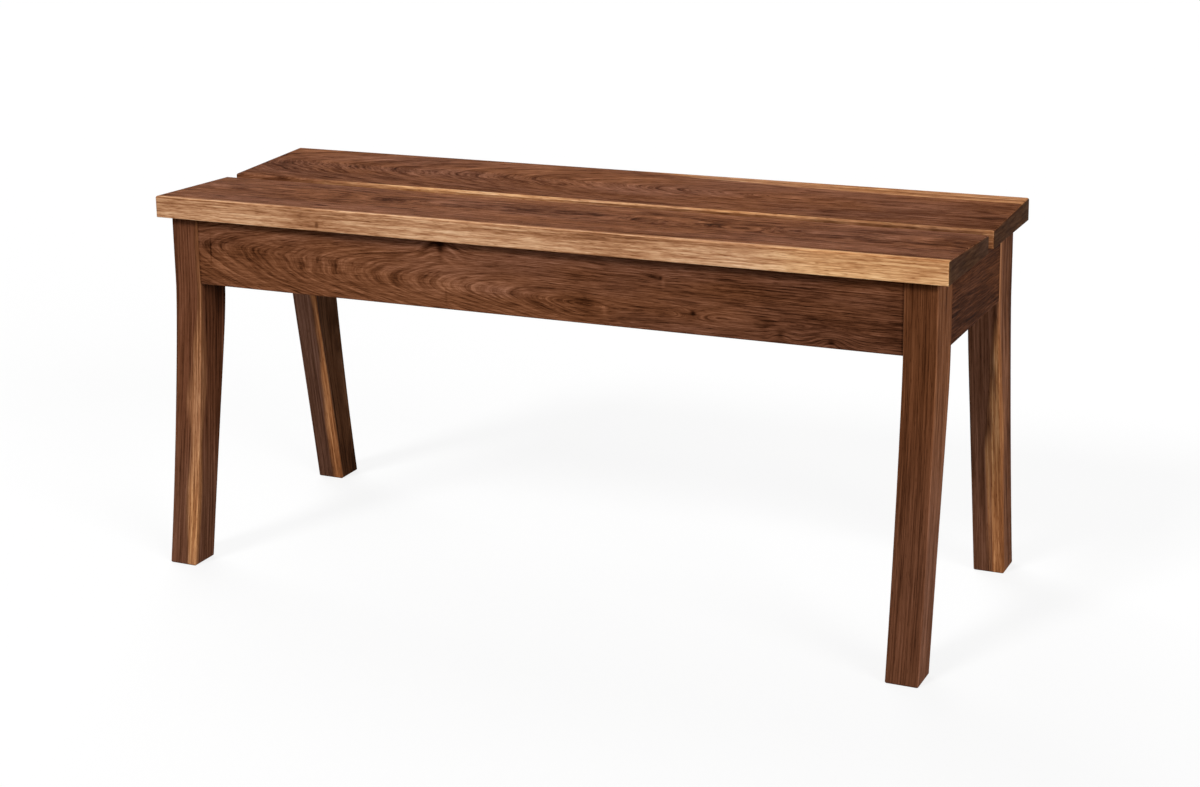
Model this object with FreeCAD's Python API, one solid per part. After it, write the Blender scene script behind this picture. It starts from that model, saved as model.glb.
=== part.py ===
import FreeCAD, Part
import math
import os

# A walnut bench: two wide boards for a seat, on an apron frame with four swept legs.
# Millimetres. X runs along the bench, the front is towards -Y, Z is up and the floor is at zero.

# Seat boards
SEAT_LENGTH = 960.0
SEAT_DEPTH = 334.0
SEAT_HEIGHT = 450.0
SLAT_GAP = 21.0
SLAT_EDGE_THICKNESS = 26.0
SLAT_DISH = 6.0
SLAT_END_OVERHANG = 14.0
SLAT_SIDE_OVERHANG = 12.0
SLAT_ROUND = 2.5
SLAT_UNDER_ROUND = 0.8

# Legs
LEG_THICKNESS = 36.0
LEG_DEPTH = 55.0
FOOT_DEPTH = 42.0
FOOT_SPLAY = 44.0
FOOT_LEAN_DEG = 10.0
LEG_ROUND = 2.0

# Fullness of the leg's curves, as shares of the free height below the aprons
OUTER_BEND = 0.077
OUTER_SWEEP = 0.486
INNER_BEND = 0.15
INNER_SWEEP = 0.78

# Aprons and their tenons
APRON_HEIGHT = 81.0
APRON_THICKNESS = 22.0
APRON_SETBACK = 1.0
APRON_ROUND = 1.5
TENON_THICKNESS = 8.0
TENON_TOP_SHOULDER = 14.0
TENON_BOTTOM_SHOULDER = 8.0
MORTISE_BACK_WALL = 10.0
MORTISE_DIVIDING_WALL = 7.0
MORTISE_CLEARANCE = 0.15
MORTISE_END_ROOM = 1.0

# Cross rails under the seat boards
RAIL_WIDTH = 30.0
RAIL_HEIGHT = 45.0
RAIL_TENON_THICKNESS = 12.0
RAIL_TENON_SHOULDER = 8.0
RAIL_MORTISE_BACK_WALL = 10.0
RAIL_SCREW_EDGE = 24.0
RAIL_SCREW_GAP_SIDE = 30.0

# Corner blocks behind the legs
BLOCK_HEIGHT = 40.0
BLOCK_SIDE_REACH = 70.0
BLOCK_END_REACH = 60.0
BLOCK_SCREW_INSET = 16.0

# Round-headed wood screws: the grip is the wood under the head, the cover is the wood beyond the tip
SLAT_SCREW_GRIP = 21.0
SLAT_SCREW_COVER = 7.0
BLOCK_SCREW_GRIP = 16.0
BLOCK_SCREW_COVER = 9.0
SCREW_DIAMETER = 4.0
SCREW_HEAD_DIAMETER = 8.0
SCREW_HEAD_HEIGHT = 3.0
SCREW_HEAD_RIM = 1.0
SCREW_SLOT_WIDTH = 1.2
SCREW_SLOT_DEPTH = 1.4
SCREW_TIP_LENGTH = 5.0
SCREW_TIP_DIAMETER = 1.0
SCREW_HOLE_CLEARANCE = 0.5
PILOT_CLEARANCE = 0.05
PILOT_END_ROOM = 1.0
COUNTERBORE_CLEARANCE = 0.5

# Places that follow from those sizes
FRAME_TOP = SEAT_HEIGHT - SLAT_EDGE_THICKNESS
APRON_BOTTOM = FRAME_TOP - APRON_HEIGHT
LEG_X = SEAT_LENGTH / 2 - SLAT_END_OVERHANG
LEG_Y = SEAT_DEPTH / 2 - SLAT_SIDE_OVERHANG
LEG_INNER_X = LEG_X - LEG_THICKNESS
LEG_INNER_Y = LEG_Y - LEG_DEPTH
SIDE_APRON_Y = LEG_Y - APRON_SETBACK
END_APRON_X = LEG_X - APRON_SETBACK
SIDE_APRON_INNER_Y = SIDE_APRON_Y - APRON_THICKNESS
END_APRON_INNER_X = END_APRON_X - APRON_THICKNESS
TENON_INSET = (APRON_THICKNESS - TENON_THICKNESS) / 2
TENON_HEIGHT = APRON_HEIGHT - TENON_TOP_SHOULDER - TENON_BOTTOM_SHOULDER
SIDE_TENON_LENGTH = LEG_THICKNESS - MORTISE_BACK_WALL - MORTISE_END_ROOM
SIDE_MORTISE_DEEPEST = APRON_SETBACK + TENON_INSET + TENON_THICKNESS + MORTISE_CLEARANCE
END_TENON_LENGTH = LEG_DEPTH - SIDE_MORTISE_DEEPEST - MORTISE_DIVIDING_WALL - MORTISE_END_ROOM
RAIL_TENON_LENGTH = APRON_THICKNESS - RAIL_MORTISE_BACK_WALL - MORTISE_END_ROOM
RAIL_X = END_APRON_INNER_X / 3
RAIL_TENON_HEIGHT = RAIL_HEIGHT - 2 * RAIL_TENON_SHOULDER
SLAT_SCREW_BITE = SLAT_EDGE_THICKNESS - SLAT_DISH - SLAT_SCREW_COVER
BLOCK_SCREW_BITE = APRON_THICKNESS - BLOCK_SCREW_COVER

VERTICAL = FreeCAD.Vector(0, 0, 1)


def block(low, high):
    """A box from its lowest to its highest corner."""
    size = FreeCAD.Vector(*high) - FreeCAD.Vector(*low)
    return Part.makeBox(size.x, size.y, size.z, FreeCAD.Vector(*low))


def grown(low, high, room):
    """A box that is larger than the given one by a clearance on every side."""
    return block([value - room for value in low], [value + room for value in high])


def prism(points, direction):
    """A flat polygon pushed along a direction."""
    outline = [FreeCAD.Vector(*point) for point in points]
    return Part.Face(Part.makePolygon(outline + outline[:1])).extrude(FreeCAD.Vector(*direction))


def mirrored(shape, to_left, to_front):
    """The same piece at another corner or side of the bench."""
    if to_left:
        shape = shape.mirror(FreeCAD.Vector(0, 0, 0), FreeCAD.Vector(1, 0, 0))
    if to_front:
        shape = shape.mirror(FreeCAD.Vector(0, 0, 0), FreeCAD.Vector(0, 1, 0))
    return shape


def swept_edge(top_y, foot_y, bend, sweep):
    """One side of the leg's outline: straight down beside the apron, then out to the foot in one curve."""
    lean = math.radians(FOOT_LEAN_DEG)
    bend_point = FreeCAD.Vector(0, top_y, APRON_BOTTOM)
    foot_point = FreeCAD.Vector(0, foot_y, 0)
    bend_handle = bend_point - VERTICAL * (bend * APRON_BOTTOM)
    along_foot = FreeCAD.Vector(0, -math.sin(lean), math.cos(lean))
    foot_handle = foot_point + along_foot * (sweep * APRON_BOTTOM)
    curve = Part.BezierCurve()
    curve.setPoles([bend_point, bend_handle, foot_handle, foot_point])
    top_point = FreeCAD.Vector(0, top_y, FRAME_TOP)
    return Part.LineSegment(top_point, bend_point).toShape(), curve.toShape()


def leg_tenons():
    """Corners of the two tenons that enter the rear right leg: the rear apron's and the end apron's."""
    low_z = APRON_BOTTOM + TENON_BOTTOM_SHOULDER
    high_z = low_z + TENON_HEIGHT
    side_y = SIDE_APRON_Y - TENON_INSET
    end_x = END_APRON_X - TENON_INSET
    side = ([LEG_INNER_X, side_y - TENON_THICKNESS, low_z],
            [LEG_INNER_X + SIDE_TENON_LENGTH, side_y, high_z])
    end = ([end_x - TENON_THICKNESS, LEG_INNER_Y, low_z],
           [end_x, LEG_INNER_Y + END_TENON_LENGTH, high_z])
    return side, end


def rear_right_leg():
    """A rectangular leg, swept backwards below the aprons, with eased arrises and two mortises."""
    foot_outer = LEG_Y + FOOT_SPLAY
    outer_line, outer_curve = swept_edge(LEG_Y, foot_outer, OUTER_BEND, OUTER_SWEEP)
    inner_line, inner_curve = swept_edge(LEG_INNER_Y, foot_outer - FOOT_DEPTH, INNER_BEND, INNER_SWEEP)
    top = Part.LineSegment(FreeCAD.Vector(0, LEG_Y, FRAME_TOP), FreeCAD.Vector(0, LEG_INNER_Y, FRAME_TOP))
    foot = Part.LineSegment(FreeCAD.Vector(0, foot_outer, 0), FreeCAD.Vector(0, foot_outer - FOOT_DEPTH, 0))
    sides = [outer_line, outer_curve, foot.toShape(), inner_curve, inner_line, top.toShape()]
    outline = Part.Face(Part.Wire(Part.__sortEdges__(sides)))
    outline.translate(FreeCAD.Vector(LEG_INNER_X, 0, 0))
    leg = outline.extrude(FreeCAD.Vector(LEG_THICKNESS, 0, 0))

    def eased(edge):
        box = edge.BoundBox
        down_the_leg = box.XLength < LEG_ROUND and box.ZLength > LEG_ROUND
        round_the_foot = box.ZMax < LEG_ROUND
        return down_the_leg or round_the_foot
    leg = leg.makeFillet(LEG_ROUND, [edge for edge in leg.Edges if eased(edge)])
    (side_low, side_high), (end_low, end_high) = leg_tenons()
    side_high[0] += MORTISE_END_ROOM - MORTISE_CLEARANCE
    end_high[1] += MORTISE_END_ROOM - MORTISE_CLEARANCE
    mortises = [grown(side_low, side_high, MORTISE_CLEARANCE), grown(end_low, end_high, MORTISE_CLEARANCE)]
    return leg.cut(mortises)


def rear_slat():
    """A seat board, flat below, whose top slopes down from its outer edge to the gap.
    Its upper arrises and corners are rounded, those of the underside only just eased."""
    gap_side = SLAT_GAP / 2
    outer_side = SEAT_DEPTH / 2
    start = -SEAT_LENGTH / 2
    outline = [
        (start, gap_side, FRAME_TOP),
        (start, outer_side, FRAME_TOP),
        (start, outer_side, SEAT_HEIGHT),
        (start, gap_side, SEAT_HEIGHT - SLAT_DISH),
    ]
    board = prism(outline, (SEAT_LENGTH, 0, 0))

    def underneath(edge):
        return edge.BoundBox.ZMax < FRAME_TOP + SLAT_UNDER_ROUND
    board = board.makeFillet(SLAT_ROUND, [edge for edge in board.Edges if not underneath(edge)])
    board = board.makeFillet(SLAT_UNDER_ROUND, [edge for edge in board.Edges if underneath(edge)])
    pilots = [pilot_hole(point, VERTICAL, SLAT_SCREW_BITE) for point in slat_screw_points() if point.y > 0]
    return board.cut(pilots)


def rail_tenon(centre_x):
    """Corners of a cross rail's stub tenon where it enters the rear apron."""
    low_z = FRAME_TOP - RAIL_HEIGHT + RAIL_TENON_SHOULDER
    low = [centre_x - RAIL_TENON_THICKNESS / 2, SIDE_APRON_INNER_Y, low_z]
    high_y = SIDE_APRON_INNER_Y + RAIL_TENON_LENGTH
    high = [centre_x + RAIL_TENON_THICKNESS / 2, high_y, low_z + RAIL_TENON_HEIGHT]
    return low, high


def rear_apron():
    """A long rail with a tenon at each end, mortised for the cross rails."""
    low = (-LEG_INNER_X, SIDE_APRON_INNER_Y, APRON_BOTTOM)
    rail = block(low, (LEG_INNER_X, SIDE_APRON_Y, FRAME_TOP))
    rail = eased_below(rail, LEG_INNER_X)
    side, _ = leg_tenons()
    tenon = block(*side)
    rail = rail.fuse([tenon, mirrored(tenon, True, False)])
    for centre_x in (-RAIL_X, RAIL_X):
        mortise_low, mortise_high = rail_tenon(centre_x)
        mortise_high[1] += MORTISE_END_ROOM - MORTISE_CLEARANCE
        rail = rail.cut(grown(mortise_low, mortise_high, MORTISE_CLEARANCE))
    pilots = [pilot_hole(point, direction, BLOCK_SCREW_BITE)
              for point, direction in block_screw_places() if direction.y > 0]
    return rail.cut(pilots)


def right_end_apron():
    """A short rail between the two legs of one end, with a tenon at each end."""
    low = (END_APRON_INNER_X, -LEG_INNER_Y, APRON_BOTTOM)
    rail = block(low, (END_APRON_X, LEG_INNER_Y, FRAME_TOP))
    rail = eased_below(rail, LEG_INNER_Y)
    _, end = leg_tenons()
    tenon = block(*end)
    rail = rail.fuse([tenon, mirrored(tenon, False, True)])
    pilots = [pilot_hole(point, direction, BLOCK_SCREW_BITE)
              for point, direction in block_screw_places() if direction.x > 0]
    return rail.cut(pilots)


def eased_below(rail, half_length):
    """A rail with its two long bottom arrises rounded over."""
    def long_and_low(edge):
        box = edge.BoundBox
        return box.ZMax < APRON_BOTTOM + APRON_ROUND and max(box.XLength, box.YLength) > half_length
    return rail.makeFillet(APRON_ROUND, [edge for edge in rail.Edges if long_and_low(edge)])


def right_cross_rail():
    """A rail across the frame, with stub tenons, bored upwards for the screws into the slats."""
    low_z = FRAME_TOP - RAIL_HEIGHT
    low = (RAIL_X - RAIL_WIDTH / 2, -SIDE_APRON_INNER_Y, low_z)
    rail = block(low, (RAIL_X + RAIL_WIDTH / 2, SIDE_APRON_INNER_Y, FRAME_TOP))
    tenon = block(*rail_tenon(RAIL_X))
    rail = rail.fuse([tenon, mirrored(tenon, False, True)])
    holes = [screw_hole(point, VERTICAL, SLAT_SCREW_GRIP, RAIL_HEIGHT) for point in rail_screw_points()
             if point.x > 0]
    return rail.cut(holes)


def rear_right_corner_block():
    """A three-cornered block behind the leg, notched round the leg's inner corner."""
    low_z = FRAME_TOP - BLOCK_HEIGHT
    outline = [
        (LEG_INNER_X, SIDE_APRON_INNER_Y, low_z),
        (LEG_INNER_X, LEG_INNER_Y, low_z),
        (END_APRON_INNER_X, LEG_INNER_Y, low_z),
        (END_APRON_INNER_X, LEG_INNER_Y - BLOCK_END_REACH, low_z),
        (LEG_INNER_X - BLOCK_SIDE_REACH, SIDE_APRON_INNER_Y, low_z),
    ]
    body = prism(outline, (0, 0, BLOCK_HEIGHT))
    holes = [screw_hole(point, direction, BLOCK_SCREW_GRIP, BLOCK_SIDE_REACH)
             for point, direction in block_screw_places() if point.x > 0 and point.y > 0]
    holes += [screw_hole(point, VERTICAL, SLAT_SCREW_GRIP, BLOCK_HEIGHT)
              for point in corner_screw_points() if point.x > 0 and point.y > 0]
    return body.cut(holes)


def rail_screw_points():
    """Points on the slats' undersides where screws come up from the cross rails."""
    near_gap = SLAT_GAP / 2 + RAIL_SCREW_GAP_SIDE
    near_apron = SIDE_APRON_INNER_Y - RAIL_SCREW_EDGE
    return [FreeCAD.Vector(side_x * RAIL_X, side_y * distance, FRAME_TOP)
            for side_x in (1, -1) for side_y in (1, -1) for distance in (near_gap, near_apron)]


def corner_screw_points():
    """Points on the slats' undersides where screws come up from the corner blocks."""
    distance = LEG_INNER_X - BLOCK_SCREW_INSET
    return [FreeCAD.Vector(side_x * distance, side_y * LEG_INNER_Y, FRAME_TOP)
            for side_x in (1, -1) for side_y in (1, -1)]


def slat_screw_points():
    """Every point where a screw holds a slat down."""
    return rail_screw_points() + corner_screw_points()


def block_screw_places():
    """Screws from the corner blocks into the aprons: a point on the apron's inner face and the way in."""
    middle_z = FRAME_TOP - BLOCK_HEIGHT / 2
    side_x_place = LEG_INNER_X - BLOCK_SIDE_REACH / 2
    end_y_place = LEG_INNER_Y - BLOCK_END_REACH / 2
    places = []
    for side_x in (1, -1):
        for side_y in (1, -1):
            into_side = FreeCAD.Vector(side_x * side_x_place, side_y * SIDE_APRON_INNER_Y, middle_z)
            into_end = FreeCAD.Vector(side_x * END_APRON_INNER_X, side_y * end_y_place, middle_z)
            places.append((into_side, FreeCAD.Vector(0, side_y, 0)))
            places.append((into_end, FreeCAD.Vector(side_x, 0, 0)))
    return places


def pilot_hole(point, direction, bite):
    """The hole that a screw's thread bites into, beyond the joint."""
    radius = SCREW_DIAMETER / 2 + PILOT_CLEARANCE
    return Part.makeCylinder(radius, bite + PILOT_END_ROOM, point, direction)


def screw_hole(point, direction, grip, reach):
    """A clear hole up to the joint, and a counterbore for the head that runs out of the piece."""
    clear = Part.makeCylinder(SCREW_DIAMETER / 2 + SCREW_HOLE_CLEARANCE, grip, point, direction * -1)
    seat = point - direction * grip
    bore = Part.makeCylinder(SCREW_HEAD_DIAMETER / 2 + COUNTERBORE_CLEARANCE, reach, seat, direction * -1)
    return clear.fuse(bore)


def wood_screw(point, direction, grip, bite):
    """A round-headed screw with a slot across its head, seated one grip length before the joint."""
    shank_radius = SCREW_DIAMETER / 2
    head_radius = SCREW_HEAD_DIAMETER / 2
    length = grip + bite
    crown = FreeCAD.Vector(0, 0, -SCREW_HEAD_HEIGHT)
    rim = FreeCAD.Vector(head_radius, 0, -SCREW_HEAD_RIM)
    dome_rise = SCREW_HEAD_HEIGHT - SCREW_HEAD_RIM
    dome_radius = (head_radius ** 2 + dome_rise ** 2) / (2 * dome_rise)
    half_way = math.asin(head_radius / dome_radius) / 2
    dome_middle = FreeCAD.Vector(
        dome_radius * math.sin(half_way), 0, crown.z + dome_radius * (1 - math.cos(half_way)))
    side = [
        rim,
        FreeCAD.Vector(head_radius, 0, 0),
        FreeCAD.Vector(shank_radius, 0, 0),
        FreeCAD.Vector(shank_radius, 0, length - SCREW_TIP_LENGTH),
        FreeCAD.Vector(SCREW_TIP_DIAMETER / 2, 0, length),
        FreeCAD.Vector(0, 0, length),
        crown,
    ]
    dome = Part.Arc(crown, dome_middle, rim).toShape()
    outline = Part.Wire([dome] + Part.makePolygon(side).Edges)
    screw = Part.Face(outline).revolve(FreeCAD.Vector(0, 0, 0), VERTICAL, 360)
    slot_low = (-head_radius, -SCREW_SLOT_WIDTH / 2, crown.z - SCREW_SLOT_DEPTH)
    slot_high = (head_radius, SCREW_SLOT_WIDTH / 2, crown.z + SCREW_SLOT_DEPTH)
    screw = screw.cut(block(slot_low, slot_high))
    screw.Placement = FreeCAD.Placement(point - direction * grip, FreeCAD.Rotation(VERTICAL, direction))
    return screw


def bench_pieces():
    """Every piece of the bench by name."""
    pieces = {
        "rear_slat": rear_slat(),
        "rear_apron": rear_apron(),
        "right_end_apron": right_end_apron(),
        "right_cross_rail": right_cross_rail(),
    }
    pieces["front_slat"] = mirrored(pieces["rear_slat"], False, True)
    pieces["front_apron"] = mirrored(pieces["rear_apron"], False, True)
    pieces["left_end_apron"] = mirrored(pieces["right_end_apron"], True, False)
    pieces["left_cross_rail"] = mirrored(pieces["right_cross_rail"], True, False)
    leg = rear_right_leg()
    corner_block = rear_right_corner_block()
    for side, to_left in (("right", False), ("left", True)):
        for end, to_front in (("rear", False), ("front", True)):
            pieces[f"{end}_{side}_leg"] = mirrored(leg, to_left, to_front)
            pieces[f"{end}_{side}_corner_block"] = mirrored(corner_block, to_left, to_front)
    pieces["slat_screws"] = Part.makeCompound(
        [wood_screw(point, VERTICAL, SLAT_SCREW_GRIP, SLAT_SCREW_BITE) for point in slat_screw_points()])
    pieces["corner_block_screws"] = Part.makeCompound(
        [wood_screw(point, direction, BLOCK_SCREW_GRIP, BLOCK_SCREW_BITE)
         for point, direction in block_screw_places()])
    return pieces


os.makedirs("parts", exist_ok=True)
for name, shape in bench_pieces().items():
    shape.exportStep(f"parts/{name}.step")
    print(name, len(shape.Solids), shape.isValid(), round(shape.Volume / 1000.0, 2), "cm3")
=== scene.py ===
import math
import bpy
from mathutils import Matrix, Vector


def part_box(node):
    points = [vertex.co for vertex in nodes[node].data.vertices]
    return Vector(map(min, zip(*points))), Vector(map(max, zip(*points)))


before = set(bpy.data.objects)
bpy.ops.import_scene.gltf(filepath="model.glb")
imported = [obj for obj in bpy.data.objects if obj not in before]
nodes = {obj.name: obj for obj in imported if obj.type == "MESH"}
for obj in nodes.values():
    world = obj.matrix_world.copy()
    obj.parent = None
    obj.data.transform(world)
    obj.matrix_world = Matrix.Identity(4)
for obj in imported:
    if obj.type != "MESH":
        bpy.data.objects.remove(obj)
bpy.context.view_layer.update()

# Legs
# Four swept legs, each sawn from a walnut plank with the grain running down it, the arrises eased
# by hand and the wood rubbed with oil. Each leg takes the tenons of two aprons in glued mortises.


class Measure:
    """A number that a material works out at each point, so that its formulas read as sums."""

    def __init__(self, tree, socket):
        self.tree = tree
        self.socket = socket

    def step(self, operation, *others):
        """This number put through one arithmetic step with other numbers."""
        node = self.tree.nodes.new("ShaderNodeMath")
        node.operation = operation
        for place, value in zip(node.inputs, (self,) + others):
            self.set(place, value)
        return Measure(self.tree, node.outputs[0])

    def set(self, place, value):
        """A socket takes a worked-out number by a link, and a plain one as its value."""
        if isinstance(value, Measure):
            self.tree.links.new(value.socket, place)
        else:
            place.default_value = value

    def __add__(self, other):
        return self.step("ADD", other)

    def __sub__(self, other):
        return self.step("SUBTRACT", other)

    def __mul__(self, other):
        return self.step("MULTIPLY", other)

    def __truediv__(self, other):
        return self.step("DIVIDE", other)

    def __pow__(self, power):
        return self.step("POWER", power)

    def bell(self):
        """1 at zero, and less on both sides in a bell shape."""
        return (self * self * -1.0).step("EXPONENT")

    def rise(self, low, high):
        """0 up to one value, 1 beyond another, and a smooth step from one to the other."""
        node = self.tree.nodes.new("ShaderNodeMapRange")
        node.interpolation_type = "SMOOTHSTEP"
        self.set(node.inputs["Value"], self)
        self.set(node.inputs["From Min"], low)
        self.set(node.inputs["From Max"], high)
        return Measure(self.tree, node.outputs["Result"])

    def colours(self, stops, smooth="LINEAR"):
        """The colour, or the grey height, that a row of stops gives for this number."""
        node = self.tree.nodes.new("ShaderNodeValToRGB")
        row = node.color_ramp
        row.interpolation = smooth
        while len(row.elements) < len(stops):
            row.elements.new(0.5)
        for element, (position, colour) in zip(row.elements, stops):
            shade = colour if isinstance(colour, tuple) else (colour, colour, colour)
            element.position = position
            element.color = (*shade, 1.0)
        self.set(node.inputs["Fac"], self)
        return Measure(self.tree, node.outputs["Color"])


# Colours from the darkest tone to the palest, the tint of end grain, and hues that colours are turned by
HEARTWOOD = [
    (0.00, (0.016, 0.0048, 0.0019)),
    (0.25, (0.058, 0.0185, 0.0078)),
    (0.50, (0.136, 0.0490, 0.0232)),
    (0.75, (0.232, 0.0930, 0.0500)),
    (1.00, (0.360, 0.1620, 0.0950)),
]
SAPWOOD = [
    (0.00, (0.170, 0.065, 0.027)),
    (0.24, (0.323, 0.137, 0.060)),
    (0.50, (0.529, 0.267, 0.132)),
    (0.76, (0.752, 0.457, 0.260)),
    (1.00, (0.900, 0.620, 0.400)),
]
END_GRAIN = (0.46, 0.545, 0.57)
COOL = (0.98, 1.00, 1.03)
WARM = (1.04, 1.00, 0.84)
GOLDEN = (1.03, 0.92, 0.76)

# A length beyond any board's, for what goes right along or across one
BEYOND = 9.0


class Board:
    """The material of one board, oiled walnut.

    Lie names the bench's axes that run along, across and through the board, and seed starts its
    random draws. A point is so far along, across and deep in the board, in metres from the middle
    of its box. The rings of the tree lie round a heart, a straight line that leans past the board.
    A point's ring is its distance from that line.
    """

    def __init__(self, node_name, lie, seed):
        self.node = nodes[node_name]
        self.seed = seed
        self.material = bpy.data.materials.new(f"walnut_{node_name}")
        self.material.use_nodes = True
        self.tree = self.material.node_tree
        self.tree.nodes.clear()
        low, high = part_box(node_name)
        middle = (low + high) / 2
        place = self.tree.nodes.new("ShaderNodeTexCoord")
        apart = self.tree.nodes.new("ShaderNodeSeparateXYZ")
        self.tree.links.new(place.outputs["Object"], apart.inputs[0])
        world = {axis: Measure(self.tree, apart.outputs[axis]) for axis in "XYZ"}
        self.x, self.y, self.z = world["X"], world["Y"], world["Z"]
        inside = [world[axis] - middle["XYZ".index(axis)] for axis in lie]
        self.along, self.across, self.deep = inside
        self.place = self.point(self.along, self.across, self.deep)
        shape = self.tree.nodes.new("ShaderNodeNewGeometry")
        facing = self.tree.nodes.new("ShaderNodeSeparateXYZ")
        self.tree.links.new(shape.outputs["Normal"], facing.inputs[0])
        facings = {}
        for axis in "XYZ":
            facings[axis] = Measure(self.tree, facing.outputs[axis]).step("ABSOLUTE")
        self.end_grain = facings[lie[0]].rise(0.6, 0.9)
        flattest = facings["X"].step("MAXIMUM", facings["Y"]).step("MAXIMUM", facings["Z"])
        self.flat = flattest.rise(0.80, 0.965)

    def follow(self, face):
        """Lets the grain run along a swept face: a point's depth is measured from that face."""
        self.deep = self.y - face
        self.place = self.point(self.along, self.across, self.deep)

    def point(self, first, second, third):
        """Three numbers as one point."""
        node = self.tree.nodes.new("ShaderNodeCombineXYZ")
        for place, value in zip(node.inputs, (first, second, third)):
            self.along.set(place, value)
        return node.outputs[0]

    def cloud(self, length, width, depth, detail=2.0, harshness=0.5, place=None):
        """Random light and dark, mostly from -1 to 1, in patches of that length, width and depth.
        The draws differ from call to call, and the gain makes up for how layers even out."""
        self.seed += 7.3
        spread = self.tree.nodes.new("ShaderNodeVectorMath")
        spread.operation = "MULTIPLY_ADD"
        self.tree.links.new(place or self.place, spread.inputs[0])
        spread.inputs[1].default_value = (1 / length, 1 / width, 1 / depth)
        spread.inputs[2].default_value = (self.seed, self.seed * 0.37, self.seed * 0.71)
        noise = self.tree.nodes.new("ShaderNodeTexNoise")
        noise.inputs["Scale"].default_value = 1.0
        noise.inputs["Detail"].default_value = detail
        noise.inputs["Roughness"].default_value = harshness
        self.tree.links.new(spread.outputs[0], noise.inputs["Vector"])
        layers = [harshness ** layer for layer in range(int(detail) + 1)]
        gain = 3.2 * sum(layers) / math.hypot(*layers)
        return (Measure(self.tree, noise.outputs[0]) - 0.5) * gain

    def hill(self, along, across, length, width, slope=0.0):
        """1 at a spot on the board's face, and less all round it in a bell shape that is so long
        and wide. A slope turns its long way across the board."""
        first = (self.along - along) / length
        second = (self.across - across - (self.along - along) * slope) / width
        square = first * first + second * second
        return (square * -1.0).step("EXPONENT")

    def rings(self, heart, lean, swirls=(), waver=0.002, until=BEYOND, slant=0.0, ripple=0.2):
        """How far a point is from the heart of the tree, bent by swirls, which are hills with a
        height, by a slow waver and by a share of it as a quick ripple. The heart leans only up to
        a place along the board and runs straight beyond it, and a slant draws the lower side of
        the figure along the board."""
        on = (self.along - heart[0] + self.across * slant).step("MINIMUM", until)
        beside = self.across - heart[1] - on * lean[0]
        below = self.deep - heart[2] - on * lean[1]
        radius = (beside * beside + below * below) ** 0.5
        for *spot, height in swirls:
            radius = radius + self.hill(*spot) * height
        radius = radius + self.cloud(0.30, 0.040, 0.08) * waver
        return radius + self.cloud(0.120, 0.015, 0.03, 2.0) * (waver * ripple)

    def heartwood(self, radius, ring_width, level=0.5, contrast=1.0, marks=(), bands=(),
                  harshness=0.75, run=1.0):
        """Light and dark of the heartwood: the yearly rings, the streaks of many widths that follow
        the rings, slow patches, and the fine fibres and pores along the grain. Marks are hills that
        are darker or paler, and bands are rings that are, each with its radius and width. Run makes
        the streaks longer."""
        along_ring = self.point(self.along, radius, self.across)
        year = (radius / ring_width).step("FRACT").colours(
            [(0.0, 0.30), (0.12, 0.0), (0.55, 0.15), (0.88, 1.0), (1.0, 0.75)], "EASE")
        fade = self.cloud(0.15, 0.02, 0.05).rise(-0.8, 0.8)
        broad = self.cloud(0.45, ring_width * 2.5, 0.20, 2.0, 0.5, along_ring)
        streaks = self.cloud(0.10 * run, ring_width * 0.5, 0.06, 5.0, harshness, along_ring)
        threads = self.cloud(0.030 * run, 0.0008, 0.03, 2.0, 0.6, along_ring)
        lines = self.cloud(0.045 * run, 0.0016, 0.04, 2.0, 0.6, along_ring).rise(0.25, 0.75)
        patches = self.cloud(0.10, 0.025, 0.03)
        self.fibres = self.cloud(0.020 * run, 0.0014, 0.0014, 2.0, 0.6)
        self.pores = self.cloud(0.010, 0.0010, 0.0010, 1.0).rise(0.30, 1.00)
        tone = broad * 0.06 - year * fade * 0.10
        tone = tone + streaks * 0.17 + threads * 0.14 - lines * 0.17
        tone = tone + patches * 0.05 + self.fibres * 0.13 - self.pores * 0.16 + 0.028
        tone = tone * contrast + level
        for *spot, depth in marks:
            tone = tone + self.hill(*spot) * depth
        for place, width, depth in bands:
            tone = tone + ((radius + streaks * 0.002 - place) / width).bell() * depth
        return tone

    def sapwood_tone(self, level):
        """Light and dark of the sapwood: pale, with soft brown streaks and fine fibres."""
        streaks = self.cloud(0.22, 0.0030, 0.0030, 4.0, 0.7)
        return streaks * 0.19 + self.fibres * 0.20 - self.pores * 0.22 + level

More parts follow.
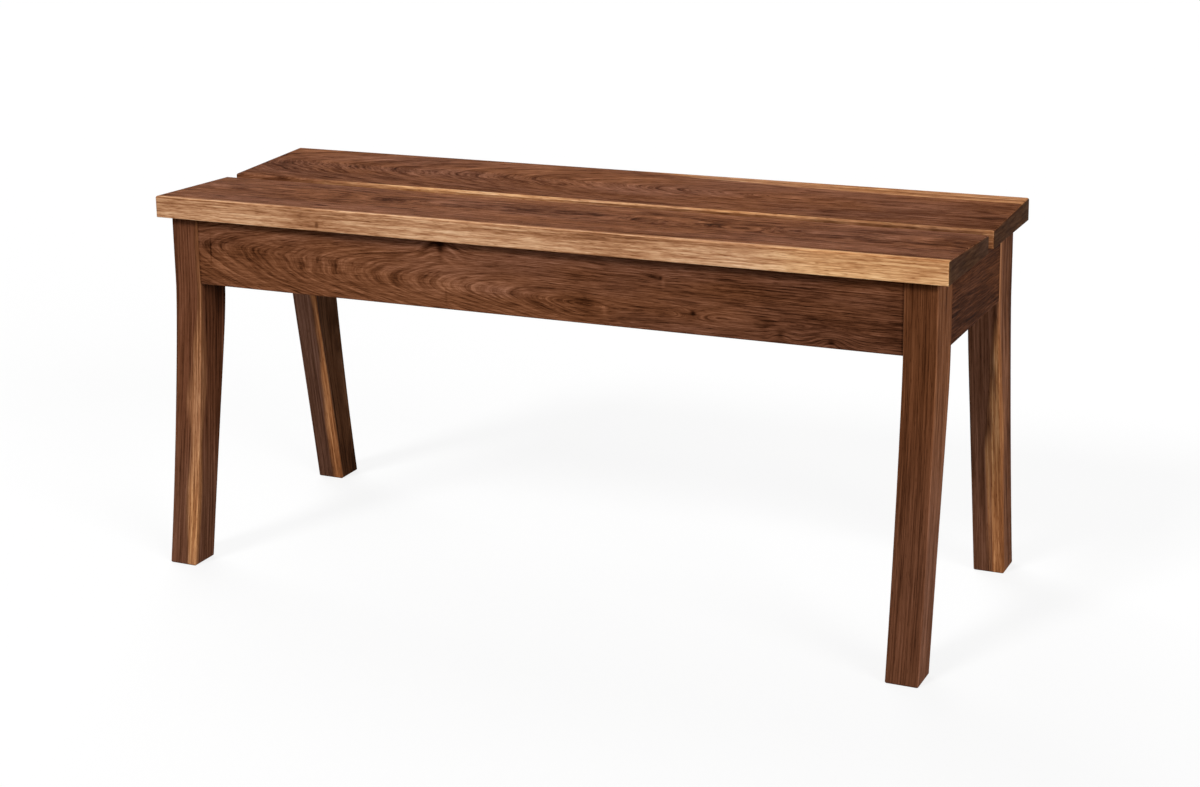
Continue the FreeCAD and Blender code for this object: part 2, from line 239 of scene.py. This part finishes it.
    def finish(self, tone, sapwood=None, sap_tone=None, roughness=0.55, hues=(COOL, WARM),
               warmth=None, sap_hues=(COOL, WARM), sap_warmth=None):
        """Colours the board, darkens its end grain, which shows fine lines along the board's faces,
        lightens its arrises as wear and as a painted highlight, and gives it a matt oiled sheen.
        Heartwood and sapwood go from their first hue to their second by their warmth, or by slow
        patches where none is given."""
        # Painted highlight, with edge wear: arrises and rounded edges are paler than the flat faces
        tone = tone + (self.flat * -1.0 + 1.0) * 0.12
        end_lines = self.cloud(BEYOND, 0.030, 0.0028, 2.0, 0.6) * 0.19 + 0.49
        tone = tone + (end_lines - tone) * self.end_grain
        hue = self.cloud(0.20, 0.05, 0.05).rise(-0.8, 0.8)
        heart_hue = (warmth or hue).colours([(0.0, hues[0]), (1.0, hues[1])])
        colour = self.mix("MULTIPLY", 1.0, tone.colours(HEARTWOOD), heart_hue)
        if sapwood is not None:
            share = sapwood * (self.end_grain * -0.92 + 1.0)
            sap_hue = (sap_warmth or hue).colours([(0.0, sap_hues[0]), (1.0, sap_hues[1])])
            sap_colour = self.mix("MULTIPLY", 1.0, sap_tone.colours(SAPWOOD), sap_hue)
            colour = self.mix("MIX", share, colour, sap_colour)
        colour = self.mix("MULTIPLY", self.end_grain, colour, END_GRAIN)
        surface = self.tree.nodes.new("ShaderNodeBsdfPrincipled")
        self.tree.links.new(colour.socket, surface.inputs["Base Color"])
        sheen = self.fibres * 0.03 + self.pores * 0.10 + roughness
        self.tree.links.new(sheen.socket, surface.inputs["Roughness"])
        surface.inputs["Specular IOR Level"].default_value = 0.004
        height = self.fibres * 0.5 - self.pores
        bump = self.tree.nodes.new("ShaderNodeBump")
        bump.inputs["Strength"].default_value = 0.3
        bump.inputs["Distance"].default_value = 0.0004
        self.tree.links.new(height.socket, bump.inputs["Height"])
        self.tree.links.new(bump.outputs[0], surface.inputs["Normal"])
        out = self.tree.nodes.new("ShaderNodeOutputMaterial")
        self.tree.links.new(surface.outputs[0], out.inputs["Surface"])
        dress(self.node, self.material)

    def mix(self, blend, share, first, second):
        """Two colours mixed or multiplied by a share."""
        node = self.tree.nodes.new("ShaderNodeMix")
        node.data_type = "RGBA"
        node.blend_type = blend
        first.set(node.inputs["Factor"], share)
        first.set(node.inputs[6], first)
        first.set(node.inputs[7], second if isinstance(second, Measure) else (*second, 1.0))
        return Measure(self.tree, node.outputs[2])


def dress(node, material):
    """Puts a finish on a piece of the bench."""
    node.data.materials.clear()
    node.data.materials.append(material)


LEG_OUTER_X = 0.466
LEG_INNER_X = 0.430
LEG_TOP = 0.424
LEG_BEND = 0.343
# The forward face of a leg: its y beside the aprons, its move out to the foot, the power of its curve
FRONT_LEG_FACE = (-0.155, -0.0436, 1.3)
REAR_LEG_FACE = (0.100, 0.0575, 1.17)
# How much longer than usual the streaks are in straight-grained legs
LEG_RUN = 2.5


def swept_face(board, top_y, foot_move, power):
    """The y of a leg's swept face at each height: straight down to the bend, then outwards."""
    drop = (board.z * -1.0 + LEG_BEND) / LEG_BEND
    return drop.step("MAXIMUM", 0.0) ** power * foot_move + top_y


def sap_width(board, stops, widest, less):
    """How wide the sapwood is at each height, by stops from the foot to the top of the leg."""
    return (board.z / LEG_TOP).colours(stops, "EASE") * widest - less


# Front left: sapwood down the front arris on the inner side, from half height to the foot, and painted
# shade on the inner side under the apron. Beside the apron that arris is pale from wear and a painted
# highlight, with painted shade along the line of the joint.
leg = Board("front_left_leg", "ZXY", 11.0)
leg.follow(swept_face(leg, *FRONT_LEG_FACE))
stops = [(0.0, 0.65), (0.20, 0.88), (0.34, 0.66), (0.48, 0.98), (0.60, 0.68), (0.76, 0.28), (1.0, 0.20)]
from_arris = leg.x * -1.0 - LEG_INNER_X
edge = sap_width(leg, stops, 0.020, 0.003) - from_arris
edge = edge - leg.deep * (leg.z.rise(0.260, 0.160) * 0.8 + 1.0)
edge = edge + leg.cloud(0.12, 0.006, 0.01, 3.0) * 0.0015
radius = leg.rings((0.0, 0.12, -0.03), (0.02, 0.01), waver=0.0012)
tone = leg.heartwood(radius, 0.0035, 0.47, 0.75, run=LEG_RUN)
tone = tone + leg.cloud(0.20, 0.004, 0.005, 3.0) * 0.08
# Painted shade: the inner side darkens away from the front face, the more the higher it is, most under
# the apron
shade = leg.z.rise(0.100, 0.200) * 0.12 + leg.z.rise(0.250, 0.340) * 0.12 + 0.02
tone = tone - leg.deep.rise(0.003, 0.030) * shade
beside_apron = leg.z.rise(LEG_BEND - 0.001, LEG_BEND + 0.001)
# Beside the apron: a pale arris strip from wear and a painted highlight, and painted shade in the groove
# of the joint
wear_and_highlight = ((from_arris - 0.0021) / 0.0009).bell()
tone = tone + (wear_and_highlight * 0.17 - from_arris.rise(0.0009, 0.0004) * 0.22) * beside_apron
pale = leg.sapwood_tone(0.34) - leg.z.rise(0.150, 0.200) * 0.08 - leg.z.rise(0.200, 0.260) * 0.09
pale = pale - leg.deep.rise(0.0005, 0.0040) * 0.14
leg.finish(tone, edge.rise(-0.005, 0.005), pale,
           hues=((0.96, 1.06, 1.18), (1.01, 0.99, 0.96)), warmth=leg.z.rise(0.060, 0.220))

# Front right: straight grained, paler on its outer side, with a painted highlight along the inner arris
leg = Board("front_right_leg", "ZXY", 23.0)
leg.follow(swept_face(leg, *FRONT_LEG_FACE))
outer_side = leg.x.rise(LEG_OUTER_X - 0.0008, LEG_OUTER_X - 0.0001)
from_arris = leg.x - LEG_INNER_X
radius = leg.rings((0.0, -0.12, 0.00), (0.005, 0.005), waver=0.0008)
tone = leg.heartwood(radius, 0.0030, 0.43, 0.65, run=LEG_RUN)
tone = tone + leg.cloud(0.20, 0.004, 0.006, 4.0, 0.7) * 0.07
tone = tone + outer_side * (leg.cloud(0.12, 0.01, 0.006, 4.0, 0.8) * 0.20 + 0.26)
# Painted highlight along the inner arris
tone = tone + from_arris.rise(0.0024, 0.0014) * 0.10
leg.finish(tone, hues=((0.98, 1.02, 1.05), (1.02, 0.98, 0.80)), warmth=leg.z.rise(0.100, 0.340))

# Rear left: sapwood on the inner front arris that widens to the foot
leg = Board("rear_left_leg", "ZXY", 37.0)
leg.follow(swept_face(leg, *REAR_LEG_FACE))
stops = [(0.0, 0.72), (0.10, 0.90), (0.19, 1.0), (0.33, 0.85), (0.47, 0.46), (0.60, 0.14), (1.0, 0.0)]
from_arris = leg.x * -1.0 - LEG_INNER_X
edge = sap_width(leg, stops, 0.020, 0.004) - from_arris - leg.deep * 5.0
edge = edge + leg.cloud(0.12, 0.006, 0.01, 3.0) * 0.0015
radius = leg.rings((0.0, 0.11, 0.04), (0.01, 0.01), waver=0.0012)
tone = leg.heartwood(radius, 0.0035, 0.52, 0.75, run=LEG_RUN)
tone = tone + leg.cloud(0.20, 0.004, 0.006, 3.0) * 0.08
inner_side = leg.deep.rise(0.001, 0.006)
tone = tone + inner_side * (leg.z.rise(0.100, 0.220) * 0.14 - leg.z.rise(0.070, 0.020) * 0.12)
tone = tone - leg.z.rise(0.100, 0.030) * 0.06
pale = leg.sapwood_tone(0.27) - leg.z.rise(0.060, 0.020) * 0.12
# Off the inner side the heartwood turns cool and grey, partly the wood's own colour and partly a painted
# neutral fill in the shade under the bench
leg.finish(tone, edge.rise(-0.004, 0.004), pale, hues=((0.84, 1.02, 1.28), (0.86, 0.95, 0.88)),
           warmth=inner_side, sap_hues=(GOLDEN, GOLDEN))

# Rear right: golden sapwood on the outer arris, with a dark streak beside it down the leg's front
leg = Board("rear_right_leg", "ZXY", 41.0)
leg.follow(swept_face(leg, *REAR_LEG_FACE))
stops = [(0.0, 0.75), (0.20, 1.0), (0.36, 0.98), (0.47, 0.66), (0.62, 0.38), (0.76, 0.18), (1.0, 0.15)]
from_arris = leg.x * -1.0 + LEG_OUTER_X
from_sapwood = from_arris - sap_width(leg, stops, 0.021, 0.003)
edge = from_sapwood * -1.0 - leg.deep * (leg.z.rise(0.200, 0.100) * 1.6 + 0.9)
edge = edge + leg.cloud(0.15, 0.005, 0.005, 4.0) * 0.003
outer_side = leg.x.rise(LEG_OUTER_X - 0.0035, LEG_OUTER_X - 0.0005)
streak = ((from_sapwood - 0.004) / 0.0028).bell()
radius = leg.rings((0.0, 0.11, 0.03), (0.01, 0.01), waver=0.0012)
tone = leg.heartwood(radius, 0.0035, 0.50, 0.75, run=LEG_RUN)
tone = tone + leg.cloud(0.20, 0.004, 0.006, 3.0) * 0.09
tone = tone + outer_side * (leg.cloud(0.14, 0.01, 0.007, 4.0, 0.75) * 0.26 + 0.10)
tone = tone - leg.deep.rise(0.025, 0.045) * 0.14 - streak * 0.16
tone = tone + leg.deep.rise(0.006, 0.001) * 0.07
tone = tone + outer_side * leg.deep.rise(0.022, 0.006) * leg.z.rise(0.240, 0.310) * 0.09
pale = leg.sapwood_tone(0.28) + leg.z.rise(0.06, 0.16) * 0.14 - outer_side * 0.12
# Off the outer side the heartwood turns cooler, a painted neutral fill in the shade on the leg's front
leg.finish(tone, edge.rise(-0.004, 0.004), pale, hues=((0.94, 1.03, 1.12), (1.00, 1.02, 0.95)),
           warmth=outer_side, sap_hues=(GOLDEN, GOLDEN))

# Aprons
# Two long and two short walnut rails under the seat, tenoned into the legs. The front one is flat
# sawn with loops and small knots on its face; the bottom arrises are eased.
apron = Board("front_apron", "XZY", 53.0)
swirls = [
    (-0.104, 0.044, 0.030, 0.026, -0.010),
    (0.160, 0.020, 0.014, 0.006, 0.004),
    (0.200, -0.017, 0.016, 0.008, 0.005),
    (0.075, -0.036, 0.060, 0.016, -0.008),
    (0.298, -0.031, 0.014, 0.007, 0.005),
    (0.354, -0.032, 0.022, 0.010, 0.010),
]
marks = [
    (-0.106, 0.040, 0.012, 0.009, -0.50),
    (-0.104, 0.029, 0.004, 0.010, -0.35),
    (-0.120, 0.030, 0.012, 0.003, 0.8, -0.22),
    (-0.128, 0.032, 0.010, 0.002, 0.8, 0.10),
    (-0.092, 0.030, 0.012, 0.0022, -0.8, 0.26),
    (-0.085, 0.033, 0.010, 0.0018, -0.8, -0.20),
    (-0.094, 0.016, 0.014, 0.003, -0.6, 0.16),
    (-0.118, 0.014, 0.012, 0.003, 0.6, 0.10),
    (-0.413, 0.004, 0.0010, 0.014, -0.35),
    (-0.350, 0.002, 0.009, 0.007, -0.13),
    (-0.288, -0.005, 0.005, 0.010, -0.10),
    (-0.270, -0.007, 0.009, 0.008, 0.12),
    (-0.240, -0.010, 0.008, 0.010, -0.12),
    (-0.165, -0.010, 0.016, 0.007, -0.20),
    (-0.100, -0.016, 0.018, 0.008, 0.10),
    (-0.098, -0.024, 0.0015, 0.010, -0.14),
    (0.155, 0.020, 0.008, 0.0025, -0.40),
    (0.163, 0.019, 0.002, 0.002, -0.35),
    (0.166, 0.013, 0.0025, 0.005, 0.18),
    (0.200, -0.017, 0.003, 0.0025, -0.55),
    (0.200, -0.017, 0.014, 0.005, -0.12),
    (0.298, -0.030, 0.004, 0.004, -0.25),
    (0.354, -0.034, 0.004, 0.0025, -0.45),
    (0.075, -0.013, 0.014, 0.010, -0.22),
    (0.097, -0.023, 0.004, 0.006, 0.24),
    (-0.100, 0.000, 0.180, 0.080, 0.08),
    (0.280, 0.000, 0.050, 0.080, -0.05),
]
bands = [
    (0.0553, 0.0010, -0.08),
    (0.0475, 0.0012, -0.05),
    (0.0410, 0.0012, -0.09),
    (0.0312, 0.0014, -0.09),
    (0.0111, 0.0012, -0.10),
]
radius = apron.rings((0.075, -0.018, -0.011), (-0.045, 0.13), swirls, 0.0016, until=0.03)
tone = apron.heartwood(radius, 0.0032, 0.55, 1.0, marks, bands, harshness=0.9)
tone = tone - apron.x.rise(0.02, 0.46) * 0.14 + apron.across.rise(-0.020, 0.030) * 0.05
from_middle = apron.x.step("ABSOLUTE")
# Darker towards the legs, with painted shade in the groove where the apron meets each leg
tone = tone - from_middle.rise(0.405, 0.422) * 0.08 - from_middle.rise(0.4275, 0.4290) * 0.12
apron.finish(tone)

apron = Board("rear_apron", "XZY", 59.0)
radius = apron.rings((-0.120, 0.010, 0.030), (0.03, 0.12))
tone = apron.heartwood(radius, 0.0050, 0.52)
apron.finish(tone)

apron = Board("right_end_apron", "YZX", 61.0)
radius = apron.rings((0.06, -0.080, -0.050), (-0.06, 0.02))
tone = apron.heartwood(radius, 0.0045, 0.30, 0.85)
apron.finish(tone)

apron = Board("left_end_apron", "YZX", 67.0)
radius = apron.rings((-0.05, 0.070, 0.060), (0.05, 0.03))
tone = apron.heartwood(radius, 0.0045, 0.42, 0.8)
apron.finish(tone)

# Cross rails
# Two rails across the frame under the seat boards, planed walnut left without oil,
# with stub tenons in the long aprons.
for name, seed in (("left_cross_rail", 71.0), ("right_cross_rail", 73.0)):
    rail = Board(name, "YXZ", seed)
    radius = rail.rings((0.0, 0.05, -0.06), (0.02, 0.02))
    tone = rail.heartwood(radius, 0.004, 0.52)
    rail.finish(tone, roughness=0.7)

# Corner blocks
# Four three-cornered blocks glued and screwed behind the legs, offcuts of the same walnut
# left without oil.
for name, seed in (("front_left_corner_block", 79.0), ("front_right_corner_block", 83.0),
                   ("rear_left_corner_block", 89.0), ("rear_right_corner_block", 97.0)):
    corner = Board(name, "XYZ", seed)
    radius = corner.rings((0.0, 0.05, -0.06), (0.05, 0.02))
    tone = corner.heartwood(radius, 0.004, 0.52)
    corner.finish(tone, roughness=0.7)

# Slats
# Two wide seat boards of flat-sawn walnut with a gap between them, thinner towards the gap. The
# front edge and parts of the rear board's edges are pale sapwood.
SEAT_HALF_DEPTH = 0.167
SEAT_TOP = 0.450
SLAT_MIDDLE_HEIGHT = 0.437
GAP_HALF_WIDTH = 0.0105
GAP_RIM_HEIGHT = 0.444

# The front board: its front edge is sapwood, with a painted highlight on the crest of the rounded arris
# that turns to painted shade at the right end, and painted shade on the arris's lower side
slat = Board("front_slat", "XYZ", 101.0)
behind_front = slat.y + SEAT_HALF_DEPTH
below_top = slat.z * -1.0 + SEAT_TOP
edge = slat.x.rise(-0.10, 0.25) * 0.0025 + 0.0065 - behind_front
edge = edge - (slat.z - SLAT_MIDDLE_HEIGHT) * 0.05 + slat.cloud(0.25, 0.02, 0.02, 4.0) * 0.0015
swirls = [
    (0.225, 0.012, 0.045, 0.016, 0.007),
    (0.110, 0.014, 0.030, 0.018, 0.006),
    (-0.220, 0.024, 0.060, 0.030, 0.005),
    (0.400, 0.002, 0.110, 0.014, 0.005),
]
marks = [
    (-0.265, -0.053, 0.009, 0.004, -0.40),
    (-0.172, 0.024, 0.012, 0.008, -0.16),
    (-0.212, 0.020, 0.007, 0.022, -0.14),
    (-0.330, 0.010, 0.080, 0.030, 0.05),
    (-0.355, 0.010, 0.020, 0.010, 0.10),
    (-0.425, 0.010, 0.030, 0.012, 0.06),
    (-0.060, -0.020, 0.120, 0.020, 0.06),
    (-0.012, 0.022, 0.035, 0.020, -0.10),
    (0.075, 0.012, 0.030, 0.020, -0.10),
    (0.106, 0.016, 0.009, 0.014, -0.16),
    (0.228, 0.008, 0.018, 0.007, -0.20),
    (0.280, 0.031, 0.050, 0.003, -0.18, -0.10),
    (0.345, -0.002, 0.060, 0.006, -0.16),
    (0.420, 0.002, 0.045, 0.008, -0.18),
    (0.400, 0.036, 0.070, 0.010, 0.08),
    (-0.120, 0.000, 0.160, BEYOND, 0.05),
    (0.470, 0.000, 0.050, BEYOND, -0.09),
    (0.100, 0.008, 0.900, 0.028, -0.06),
]
radius = slat.rings((0.0, 0.011, -0.050), (0.0, 0.0), swirls, 0.0022)
tone = slat.heartwood(radius, 0.0060, 0.60, 1.30, marks, harshness=0.85)
tone = tone + slat.cloud(0.030, 0.0050, 0.0050, 2.0, 0.6) * 0.06
# Painted highlight on the front board's rim beside the gap
tone = tone + slat.y.rise(-0.019, -0.012) * slat.x.rise(-0.20, 0.00) * 0.05
right_end = slat.x.rise(0.10, 0.26)
# Painted highlight on the crest of the front arris, turning to painted shade at the right end, and
# painted shade on its lower side
crest_painted_light = (behind_front * 0.6 + below_top * 1.4).rise(0.0019, 0.0013)
shoulder_painted_shade = below_top.rise(0.0030, 0.0018) * behind_front.rise(0.0012, 0.0006)
knot = ((slat.z - 0.431) / 0.003).bell() * slat.hill(-0.257, 0.0, 0.002, BEYOND)
pale = slat.sapwood_tone(0.53)
pale = pale - slat.hill(-0.080, 0.0, 0.240, BEYOND) * slat.z.rise(0.436, 0.444) * 0.04
pale = pale + crest_painted_light * (right_end * -0.36 + 0.22) - shoulder_painted_shade * (right_end * 0.08 + 0.10)
pale = pale - slat.z.rise(0.426, 0.449) * 0.10 + slat.x.rise(0.10, 0.30) * 0.07 - knot * 0.5
for along, length, depth in ((-0.270, 0.030, -0.14), (0.115, 0.050, -0.15), (0.340, 0.080, 0.10),
                             (-0.115, 0.050, 0.07), (-0.450, 0.045, -0.12)):
    pale = pale + slat.hill(along, 0.0, length, BEYOND) * depth
slat.finish(tone, edge.rise(-0.003, 0.004), pale, sap_warmth=slat.x.rise(0.24, 0.36) * 0.9 + 0.05)

# The rear board: sapwood along the right half of its back edge, with a brown streak in it, and on the
# wall of the gap; a pale sapwood line on the gap's arris is a painted highlight
slat = Board("rear_slat", "XYZ", 107.0)
from_back = slat.y - SEAT_HALF_DEPTH
stops = [(0.0, 0.0), (0.46, 0.0), (0.52, 0.20), (0.60, 0.52), (0.72, 0.75), (0.85, 0.87), (1.0, 0.92)]
back = from_back + (slat.x + 0.5).colours(stops, "EASE") * 0.040 - 0.003 + (slat.z - SEAT_TOP) * 0.3
back = back + slat.cloud(0.25, 0.02, 0.02, 3.0) * 0.001
from_gap = slat.y - GAP_HALF_WIDTH
# Painted highlight: a thin line of pale sapwood on the gap's arris, made paler still in the sapwood tone
arris_highlight = (from_gap - slat.z + GAP_RIM_HEIGHT).rise(0.0027, 0.0019) * slat.x.rise(-0.40, -0.20)
arris_highlight = arris_highlight * (slat.x.rise(0.36, 0.20) * 0.50 + 0.50)
notch = slat.x.rise(0.466, 0.472)
wall = slat.x.rise(0.20, -0.10) * 0.50 + slat.x.rise(0.34, 0.20) * 0.22 + notch * 0.60 + 0.18
wall = wall * from_gap.rise(0.0025, 0.0010) * slat.x.rise(-0.42, -0.28)
sapwood = back.rise(-0.002, 0.003).step("MAXIMUM", arris_highlight).step("MAXIMUM", wall)
marks = [
    (0.182, -0.012, 0.010, 0.006, -0.18),
    (0.288, -0.046, 0.015, 0.007, -0.26),
    (0.345, -0.034, 0.045, 0.006, -0.12),
    (0.465, -0.029, 0.020, 0.008, -0.26),
    (-0.055, -0.014, 0.014, 0.010, -0.18),
    (-0.455, -0.010, 0.014, 0.016, -0.14),
    (-0.230, 0.008, 0.010, 0.022, 0.10),
    (-0.392, 0.022, 0.016, 0.014, 0.08),
    (0.020, 0.028, 0.020, 0.012, 0.08),
    (0.470, 0.000, 0.060, BEYOND, -0.08),
]
bands = [
    (0.125, 0.0040, -0.09),
    (0.105, 0.0035, -0.08),
    (0.0926, 0.0030, -0.08),
    (0.0814, 0.0025, -0.07),
    (0.0662, 0.0025, -0.06),
]
radius = slat.rings((0.200, 0.000, -0.006), (0.0, 0.16), waver=0.0020, until=0.0, slant=0.8, ripple=0.06)
tone = slat.heartwood(radius, 0.0080, 0.53, 1.05, marks, bands, harshness=0.85)
tone = tone + slat.across.rise(-0.040, 0.075) * 0.12
tone = tone + slat.cloud(0.030, 0.0050, 0.0050, 2.0, 0.6) * 0.06
brown = ((from_back + 0.0195 + slat.cloud(0.20, 0.02, 0.02) * 0.001) / 0.0022).bell()
pale = slat.sapwood_tone(0.33) - brown * slat.x.rise(0.12, 0.25) * 0.22
# The gap's arris is paler as a painted highlight, and the lower part of the notch is darker as painted
# shadow of the front board
pale = pale + arris_highlight * slat.x.rise(0.30, 0.00) * 0.26 - notch * slat.z.rise(0.441, 0.436) * 0.18
slat.finish(tone, sapwood, pale)

# Screws
# Round-headed wood screws of bright plated steel: eight through the corner blocks into the aprons
# and twelve up through the blocks and the cross rails into the slats.
steel = bpy.data.materials.new("plated_screw_steel")
steel.use_nodes = True
tree = steel.node_tree
metal = tree.nodes["Principled BSDF"]
metal.inputs["Metallic"].default_value = 1.0
place = tree.nodes.new("ShaderNodeTexCoord")
speckle = tree.nodes.new("ShaderNodeTexNoise")
speckle.inputs["Scale"].default_value = 900.0
speckle.inputs["Detail"].default_value = 4.0
tree.links.new(place.outputs["Object"], speckle.inputs["Vector"])
plating = Measure(tree, speckle.outputs[0])
tint = plating.colours(
    [(0.30, (0.40, 0.40, 0.40)), (0.50, (0.60, 0.60, 0.58)), (0.70, (0.72, 0.71, 0.66))])
tree.links.new(tint.socket, metal.inputs["Base Color"])
tree.links.new((plating * 0.35 + 0.18).socket, metal.inputs["Roughness"])
grain = tree.nodes.new("ShaderNodeBump")
grain.inputs["Strength"].default_value = 0.15
grain.inputs["Distance"].default_value = 0.0001
tree.links.new(plating.socket, grain.inputs["Height"])
tree.links.new(grain.outputs[0], metal.inputs["Normal"])
for name in ("corner_block_screws", "slat_screws"):
    dress(nodes[name], steel)

# Studio
# A plain white floor between dim walls, lit by three far, wide lamps: one in front and a little to
# the left, one at the right, and one behind at the left.


def seen_directly(tree):
    """1 where the camera, a gloss or a glass shows a surface, 0 where it only sends on light."""
    path = tree.nodes.new("ShaderNodeLightPath")
    rays = [Measure(tree, path.outputs[name])
            for name in ("Is Camera Ray", "Is Glossy Ray", "Is Transmission Ray")]
    return rays[0].step("MAXIMUM", rays[1]).step("MAXIMUM", rays[2])


# The walls: seen directly, their foot is as white as the floor, so that no horizon shows
WALL = 0.12
CEILING = 0.25
SKIRTING = 1.0
world = bpy.data.worlds.new("studio_walls")
bpy.context.scene.world = world
world.use_nodes = True
tree = world.node_tree
tree.nodes.clear()
way = tree.nodes.new("ShaderNodeTexCoord")
apart = tree.nodes.new("ShaderNodeSeparateXYZ")
tree.links.new(way.outputs["Generated"], apart.inputs[0])
up = Measure(tree, apart.outputs["Z"])
choice = tree.nodes.new("ShaderNodeMixShader")
tree.links.new(seen_directly(tree).socket, choice.inputs[0])
for place, foot in ((1, WALL), (2, SKIRTING)):
    walls = tree.nodes.new("ShaderNodeBackground")
    paint = up.colours([(0.0, foot), (0.13, foot), (0.17, WALL), (0.60, WALL), (0.80, CEILING)])
    tree.links.new(paint.socket, walls.inputs["Color"])
    tree.links.new(walls.outputs[0], choice.inputs[place])
out = tree.nodes.new("ShaderNodeOutputWorld")
tree.links.new(choice.outputs[0], out.inputs["Surface"])

# The floor: seen directly it glows white and darkens in the bench's shadow, and otherwise it sends on
# little light. It is clear from below.
FLOOR_REACH = 60.0
FLOOR_GLOW = 0.83
FLOOR_SHADE = 0.15
FLOOR_BOUNCE = 0.20
corners = [(-FLOOR_REACH, -FLOOR_REACH, 0.0), (FLOOR_REACH, -FLOOR_REACH, 0.0),
           (FLOOR_REACH, FLOOR_REACH, 0.0), (-FLOOR_REACH, FLOOR_REACH, 0.0)]
floor_mesh = bpy.data.meshes.new("studio_floor")
floor_mesh.from_pydata(corners, [], [(0, 1, 2, 3)])
floor = bpy.data.objects.new("studio_floor", floor_mesh)
bpy.context.scene.collection.objects.link(floor)
floor_paint = bpy.data.materials.new("white_floor_paint")
floor_paint.use_nodes = True
tree = floor_paint.node_tree
tree.nodes.clear()
plain = tree.nodes.new("ShaderNodeBsdfDiffuse")
plain.inputs["Color"].default_value = (FLOOR_BOUNCE, FLOOR_BOUNCE, FLOOR_BOUNCE, 1.0)
shaded = tree.nodes.new("ShaderNodeBsdfDiffuse")
shaded.inputs["Color"].default_value = (FLOOR_SHADE, FLOOR_SHADE, FLOOR_SHADE, 1.0)
glow = tree.nodes.new("ShaderNodeEmission")
glow.inputs["Strength"].default_value = FLOOR_GLOW
both = tree.nodes.new("ShaderNodeAddShader")
tree.links.new(shaded.outputs[0], both.inputs[0])
tree.links.new(glow.outputs[0], both.inputs[1])
choice = tree.nodes.new("ShaderNodeMixShader")
tree.links.new(seen_directly(tree).socket, choice.inputs[0])
tree.links.new(plain.outputs[0], choice.inputs[1])
tree.links.new(both.outputs[0], choice.inputs[2])
side = tree.nodes.new("ShaderNodeNewGeometry")
clear = tree.nodes.new("ShaderNodeBsdfTransparent")
open_below = tree.nodes.new("ShaderNodeMixShader")
tree.links.new(side.outputs["Backfacing"], open_below.inputs[0])
tree.links.new(choice.outputs[0], open_below.inputs[1])
tree.links.new(clear.outputs[0], open_below.inputs[2])
out = tree.nodes.new("ShaderNodeOutputMaterial")
tree.links.new(open_below.outputs[0], out.inputs["Surface"])
floor_mesh.materials.append(floor_paint)


def soft_lamp(name, bearing, height, strength, spread):
    """A far, wide lamp at a bearing round the bench (0 in front, 90 at the right) and a height, in
    degrees. Strength 1 lights a surface that faces the lamp so that its colour shows as it is."""
    light = bpy.data.lights.new(name, "SUN")
    light.energy = strength * math.pi
    light.angle = math.radians(spread)
    lamp = bpy.data.objects.new(name, light)
    lamp.rotation_euler = (math.radians(90.0 - height), 0.0, math.radians(bearing))
    lamp.visible_glossy = False
    bpy.context.scene.collection.objects.link(lamp)


soft_lamp("front_lamp", -20.0, 38.0, 0.58, 14.0)
soft_lamp("right_lamp", 60.0, 20.0, 0.67, 30.0)
soft_lamp("rear_lamp", 225.0, 30.0, 0.78, 50.0)

# The camera stands at the front right, above the seat. The picture is a crop from the lower right of
# a wider one, so the lens is shifted.
IMAGE_WIDTH = 1200.0
IMAGE_HEIGHT = 787.0
FOCAL_PIXELS = 2261.88
LENS_CENTRE = (461.12, 267.49)
CAMERA_PLACE = (1.06344, -2.34306, 0.9835)
CAMERA_BEARING = 27.5388
CAMERA_DIP = 13.4416
CAMERA_ROLL = -1.5918
view = bpy.data.cameras.new("photo_camera")
view.sensor_width = 36.0
view.sensor_fit = "HORIZONTAL"
view.lens = FOCAL_PIXELS / IMAGE_WIDTH * view.sensor_width
view.shift_x = (IMAGE_WIDTH / 2 - LENS_CENTRE[0]) / IMAGE_WIDTH
view.shift_y = (LENS_CENTRE[1] - IMAGE_HEIGHT / 2) / IMAGE_WIDTH
camera = bpy.data.objects.new("photo_camera", view)
camera.location = CAMERA_PLACE
turn = (Matrix.Rotation(math.radians(CAMERA_BEARING), 3, "Z")
        @ Matrix.Rotation(math.radians(90.0 - CAMERA_DIP), 3, "X")
        @ Matrix.Rotation(math.radians(CAMERA_ROLL), 3, "Z"))
camera.rotation_euler = turn.to_euler()
bpy.context.scene.collection.objects.link(camera)
bpy.context.scene.camera = camera
bpy.context.scene.view_settings.view_transform = "Standard"
